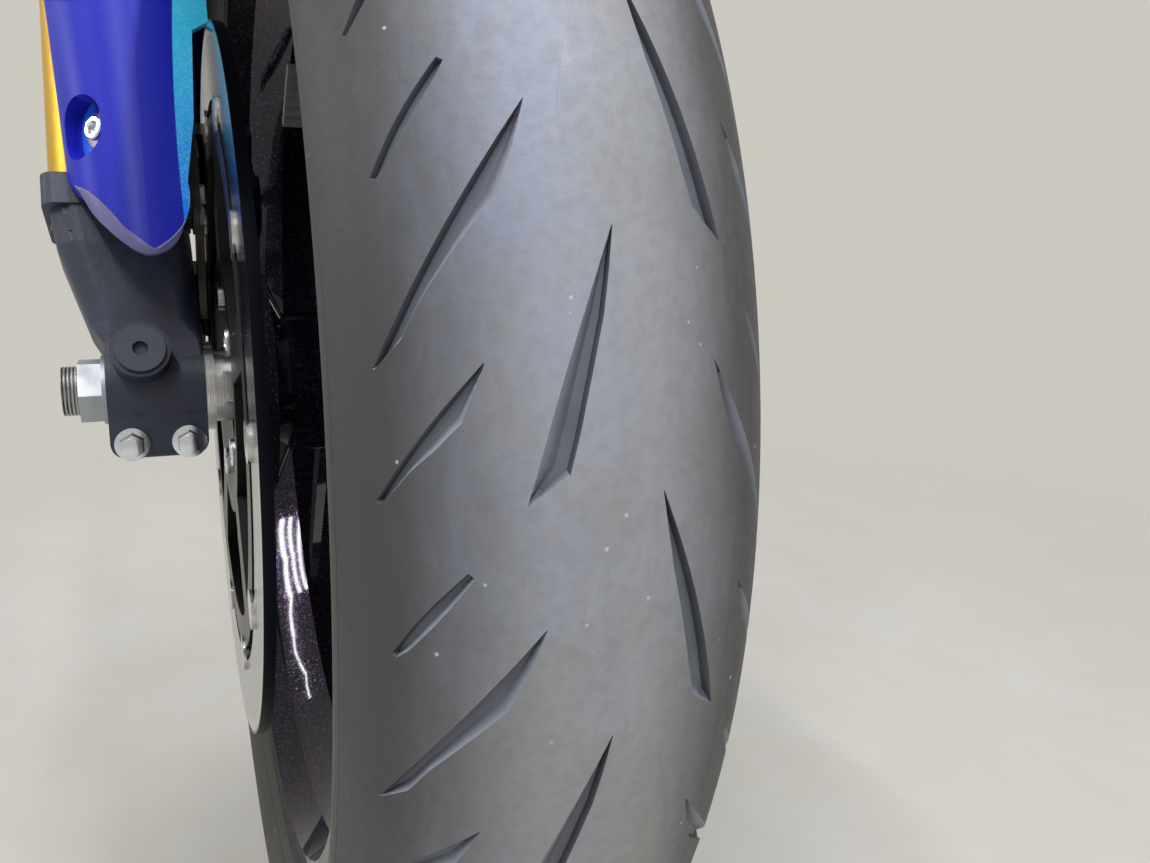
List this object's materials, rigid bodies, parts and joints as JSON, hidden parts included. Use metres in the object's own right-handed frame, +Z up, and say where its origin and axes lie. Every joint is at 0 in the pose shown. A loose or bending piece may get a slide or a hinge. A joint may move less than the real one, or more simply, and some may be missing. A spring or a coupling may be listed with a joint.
{
  "type": "motorcycle front end",
  "caption": "Sport bike front end: road wheel with tyre, twin floating brake discs, radial calipers, upside-down fork, mudguard and steering head bearings.",
  "frame": {"origin": "middle of the lower steering bearing's outer race, on the steering axis", "axes": "+Z up, +X forward, +Y the rider's left, as the front end stands on the bike with 24 degrees of rake"},
  "size_m": [0.6171, 0.306, 0.9609],
  "materials": {
    "tyre_rubber": "dusty worn road rubber",
    "wheel_paint": "gloss black with fine violet flake",
    "zinc_steel": "bright zinc plate",
    "casting_black": "satin black paint on a casting",
    "bearing_steel": "ground steel",
    "disc_steel": "mirror-worn stainless steel",
    "carrier_black": "black anodised",
    "bobbin_steel": "bright steel",
    "spacer_alloy": "turned alloy",
    "plug_black": "satin black",
    "tube_gold": "gold ceramic coating",
    "seal_rubber": "matt",
    "outer_tube_black": "black anodised",
    "mudguard_blue": "gloss ultramarine with a sky-blue stripe",
    "bracket_black": "moulded black",
    "caliper_black": "satin black",
    "pad_steel": "pressed backing plate and friction lining"
  },
  "bodies": {
    "head": {"head_bearing_lower_cup": "bearing_steel", "head_bearing_upper_cup": "bearing_steel"},
    "fork": {"axle": "zinc_steel", "axle_nut": "zinc_steel", "bearing_lower_cone": "bearing_steel", "bearing_upper_cone": "bearing_steel", "brake_pads_left": "pad_steel", "brake_pads_right": "pad_steel", "caliper_left": "caliper_black", "caliper_right": "caliper_black", "foot_left": "casting_black", "foot_plug_left": "plug_black", "foot_plug_right": "plug_black", "foot_right": "casting_black", "fork_cap_left": "spacer_alloy", "fork_cap_right": "spacer_alloy", "fork_seal_left": "seal_rubber", "fork_seal_right": "seal_rubber", "inner_tube_left": "tube_gold", "inner_tube_right": "tube_gold", "lower_yoke": "casting_black", "mudguard": "mudguard_blue", "mudguard_bracket_left": "bracket_black", "mudguard_bracket_right": "bracket_black", "mudguard_side_left": "mudguard_blue", "mudguard_side_right": "mudguard_blue", "outer_tube_left": "outer_tube_black", "outer_tube_right": "outer_tube_black", "steering_stem": "bearing_steel", "stem_nut": "zinc_steel", "wheel_spacer_left": "spacer_alloy", "wheel_spacer_right": "spacer_alloy"},
    "wheel": {"disc_bobbins_left": "bobbin_steel", "disc_bobbins_right": "bobbin_steel", "disc_carrier_left": "carrier_black", "disc_carrier_right": "carrier_black", "disc_ring_left": "disc_steel", "disc_ring_right": "disc_steel", "tyre": "tyre_rubber", "wheel_bearing_left": "bearing_steel", "wheel_bearing_right": "bearing_steel", "wheel_casting": "wheel_paint"}
  },
  "joints": [
    {"name": "steering", "type": "hinge", "parent": "head", "child": "fork", "pos_m": [0, 0, 0], "axis": [-0.4067, 0, 0.9135], "range_deg": [-27, 27]},
    {"name": "wheel_spin", "type": "hinge", "parent": "fork", "child": "wheel", "pos_m": [0.2202, 0, -0.42082], "axis": [0, 1, 0], "continuous": true}
  ]
}
